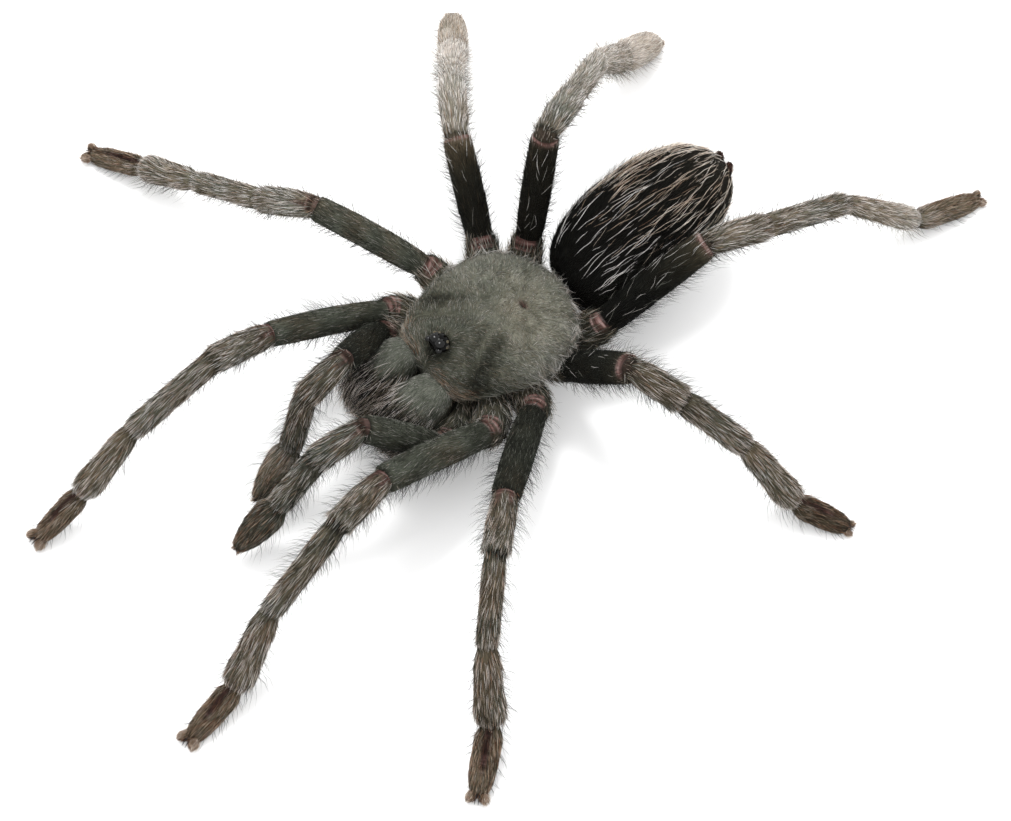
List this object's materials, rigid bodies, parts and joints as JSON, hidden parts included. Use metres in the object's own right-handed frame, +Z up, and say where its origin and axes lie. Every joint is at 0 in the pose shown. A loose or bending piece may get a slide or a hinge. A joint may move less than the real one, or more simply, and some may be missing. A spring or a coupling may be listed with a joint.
{
  "type": "dried tarantula specimen",
  "caption": "Dried tarantula specimen in a standing pose, with a velvety grey carapace, black abdomen, hairy jointed legs and palps, and flat soles to rest on.",
  "frame": {"origin": "on the ground, under the middle of the specimen's outline", "axes": "+Z up, -Y ahead (where the head looks), +X the spider's left"},
  "size_m": [0.123, 0.1474, 0.0313],
  "materials": {
    "carapace": "dense short combed hair",
    "jaw": "dense short hair with a fringe of bristles",
    "fang": "polished",
    "underside": "dull, with sparse hair",
    "abdomen": "black velvet with long pale hairs",
    "grey_femur": "short grey hair",
    "black_femur": "short black hair",
    "brown_limb": "lengthwise brown and grey hair",
    "pale_limb": "lengthwise pale hair",
    "membrane": "dry pinkish joint membrane",
    "eye": "glossy",
    "dark_hair": "stiff dark bristles",
    "pale_hair": "long wavy pale hairs",
    "claw_tuft": "dense orange-brown pad"
  },
  "bodies": {
    "root": {"abdomen": "abdomen", "carapace": "carapace", "chelicera_left": "jaw", "chelicera_right": "jaw", "fang_left": "fang", "fang_right": "fang", "left_leg_1_femur": "grey_femur", "left_leg_1_hip": "underside", "left_leg_1_metatarsus": "brown_limb", "left_leg_1_patella_tibia": "brown_limb", "left_leg_1_tarsus": "brown_limb", "left_leg_2_femur": "black_femur", "left_leg_2_hip": "underside", "left_leg_2_metatarsus": "brown_limb", "left_leg_2_patella_tibia": "brown_limb", "left_leg_2_tarsus": "brown_limb", "left_leg_3_femur": "black_femur", "left_leg_3_hip": "underside", "left_leg_3_metatarsus": "brown_limb", "left_leg_3_patella_tibia": "brown_limb", "left_leg_3_tarsus": "brown_limb", "left_leg_4_femur": "black_femur", "left_leg_4_hip": "underside", "left_leg_4_metatarsus": "brown_limb", "left_leg_4_patella_tibia": "brown_limb", "left_leg_4_tarsus": "brown_limb", "left_palp_femur": "grey_femur", "left_palp_hip": "underside", "left_palp_patella_tibia": "brown_limb", "left_palp_tarsus": "brown_limb", "pedicel": "underside", "right_leg_1_femur": "black_femur", "right_leg_1_hip": "underside", "right_leg_1_metatarsus": "brown_limb", "right_leg_1_patella_tibia": "brown_limb", "right_leg_1_tarsus": "brown_limb", "right_leg_2_femur": "black_femur", "right_leg_2_hip": "underside", "right_leg_2_metatarsus": "brown_limb", "right_leg_2_patella_tibia": "brown_limb", "right_leg_2_tarsus": "brown_limb", "right_leg_3_femur": "black_femur", "right_leg_3_hip": "underside", "right_leg_3_metatarsus": "pale_limb", "right_leg_3_patella_tibia": "pale_limb", "right_leg_3_tarsus": "pale_limb", "right_leg_4_femur": "black_femur", "right_leg_4_hip": "underside", "right_leg_4_metatarsus": "pale_limb", "right_leg_4_patella_tibia": "pale_limb", "right_leg_4_tarsus": "pale_limb", "right_palp_femur": "black_femur", "right_palp_hip": "underside", "right_palp_patella_tibia": "brown_limb", "right_palp_tarsus": "brown_limb", "spinneret_left": "underside", "spinneret_right": "underside", "sternum": "underside"}
  },
  "joints": []
}
